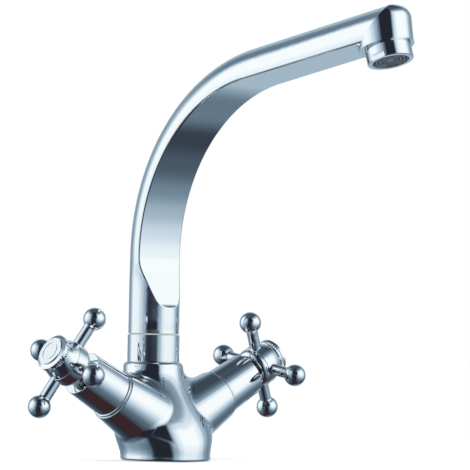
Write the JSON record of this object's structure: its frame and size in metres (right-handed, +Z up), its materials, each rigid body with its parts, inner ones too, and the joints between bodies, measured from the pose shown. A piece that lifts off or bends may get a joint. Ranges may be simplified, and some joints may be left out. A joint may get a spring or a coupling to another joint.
{
  "type": "basin mixer tap",
  "caption": "Deck-mounted basin mixer in polished chrome: round base, raised valve arms with cross handles, and a tall swivelling arc spout with an aerator.",
  "frame": {"origin": "centre of the base's underside, on the deck", "axes": "+Z up out of the deck; the spout reaches out to -Y over the basin; the cold handle stands at +X and the hot handle at -X"},
  "size_m": [0.1793, 0.2166, 0.3002],
  "materials": {
    "chrome": "mirror-polished chrome plate on brass",
    "brass": "machined, unplated",
    "zinc_steel": "zinc-plated or stainless, dull",
    "black_rubber": "matt",
    "white_ceramic": "lapped, satin",
    "white_nylon": "smooth",
    "grey_plastic": "satin"
  },
  "bodies": {
    "body": {"body_casting": "chrome", "base_seal": "black_rubber", "mounting_stud": "zinc_steel", "rubber_horseshoe": "black_rubber", "steel_horseshoe": "zinc_steel", "mounting_nut": "brass", "neck_collar": "chrome", "swivel_nipple": "brass", "spout_o_rings": "black_rubber", "spout_clip": "zinc_steel", "glide_ring": "white_nylon", "valve_body_left": "brass", "seat_seal_left": "black_rubber", "fixed_disc_left": "white_ceramic", "bonnet_left": "chrome", "valve_body_right": "brass", "seat_seal_right": "black_rubber", "fixed_disc_right": "white_ceramic", "bonnet_right": "chrome"},
    "spout": {"spout": "chrome", "aerator_housing": "chrome", "aerator_insert": "grey_plastic", "aerator_washer": "black_rubber"},
    "handle_left": {"moving_disc_left": "white_ceramic", "spindle_left": "brass", "spindle_o_rings_left": "black_rubber", "stop_ring_left": "zinc_steel", "handle_hub_left": "chrome", "handle_arms_left": "chrome", "handle_screw_left": "zinc_steel", "index_cap_left": "chrome", "index_disc_left": "chrome"},
    "handle_right": {"moving_disc_right": "white_ceramic", "spindle_right": "brass", "spindle_o_rings_right": "black_rubber", "stop_ring_right": "zinc_steel", "handle_hub_right": "chrome", "handle_arms_right": "chrome", "handle_screw_right": "zinc_steel", "index_cap_right": "chrome", "index_disc_right": "chrome"}
  },
  "joints": [
    {"name": "spout_swivel", "type": "hinge", "parent": "body", "child": "spout", "pos_m": [0, 0.0122, 0.0705], "axis": [0, 0, 1], "continuous": true},
    {"name": "handle_left_turn", "type": "hinge", "parent": "body", "child": "handle_left", "pos_m": [-0.0707, 0.001, 0.05343], "axis": [-0.8838, 0, 0.4679], "range_deg": [0, 90]},
    {"name": "handle_right_turn", "type": "hinge", "parent": "body", "child": "handle_right", "pos_m": [0.0707, 0.001, 0.05343], "axis": [0.8838, 0, 0.4679], "range_deg": [0, 90]}
  ]
}
